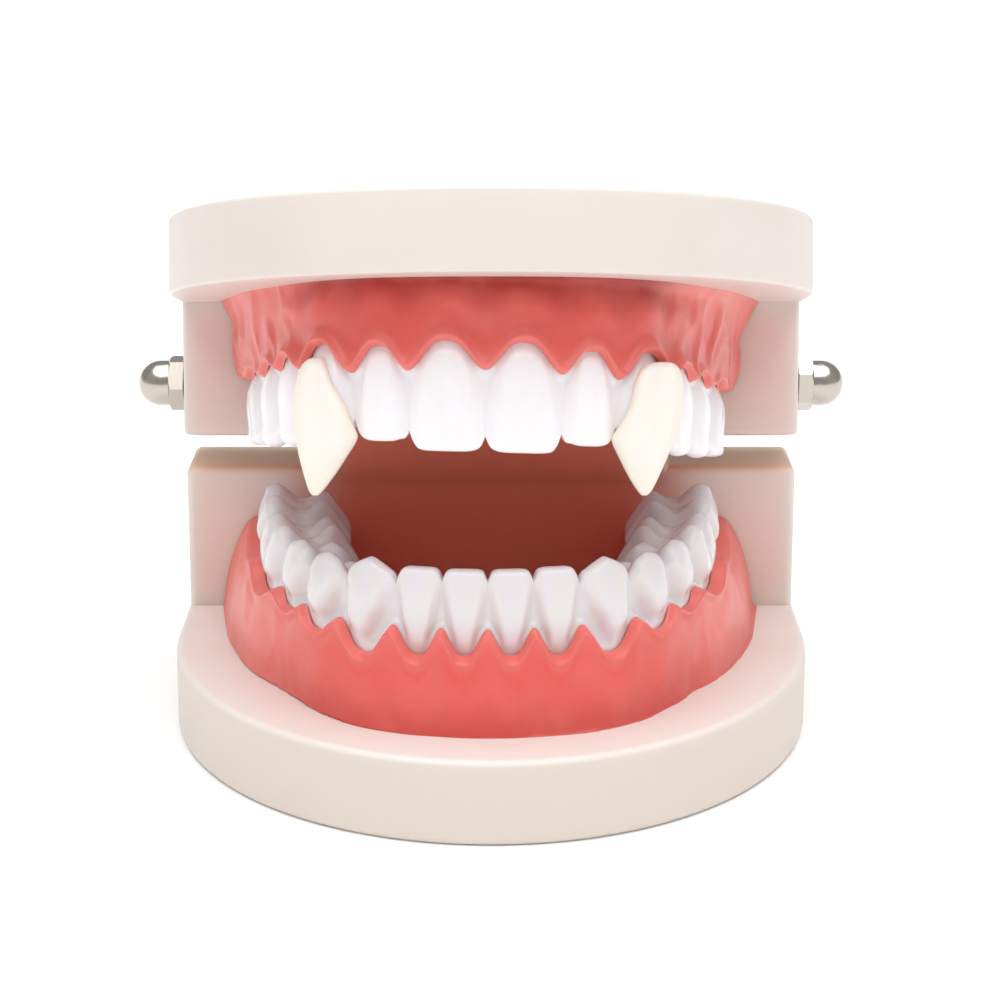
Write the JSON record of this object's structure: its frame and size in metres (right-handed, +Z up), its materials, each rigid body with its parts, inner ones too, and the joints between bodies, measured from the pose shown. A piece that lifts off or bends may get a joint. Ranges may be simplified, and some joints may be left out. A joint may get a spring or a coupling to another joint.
{
  "type": "pair of vampire fang caps on a hinged dental display model",
  "caption": "Ivory slip-on vampire fang caps worn on the upper canines of a hinged display jaw with cream plates, coral gums and white teeth, held open on its hinge pin.",
  "frame": {"origin": "centre of the lower plate's underside, on the table", "axes": "+Z up, the front teeth face -Y, +X to the right of the picture; the hinge pin runs along X"},
  "size_m": [0.0876, 0.0726, 0.0699],
  "materials": {
    "ivory_plastic": "satin moulded",
    "coral_gum": "soft waxy gloss",
    "white_teeth": "gloss",
    "ivory_fang": "smooth resin",
    "nickel": "polished nickel plate"
  },
  "bodies": {
    "lower_jaw": {"lower_base": "ivory_plastic", "lower_gum": "coral_gum", "lower_teeth": "white_teeth"},
    "upper_jaw": {"upper_base": "ivory_plastic", "upper_gum": "coral_gum", "upper_teeth": "white_teeth", "fang_cap_left": "ivory_fang", "fang_cap_right": "ivory_fang", "hinge_pin": "nickel", "acorn_nut_left": "nickel", "acorn_nut_right": "nickel"}
  },
  "joints": [
    {"name": "jaw_hinge", "type": "hinge", "parent": "lower_jaw", "child": "upper_jaw", "pos_m": [0, 0.02655, 0.0372], "axis": [1, 0, 0], "range_deg": [-17, 14.2]}
  ]
}
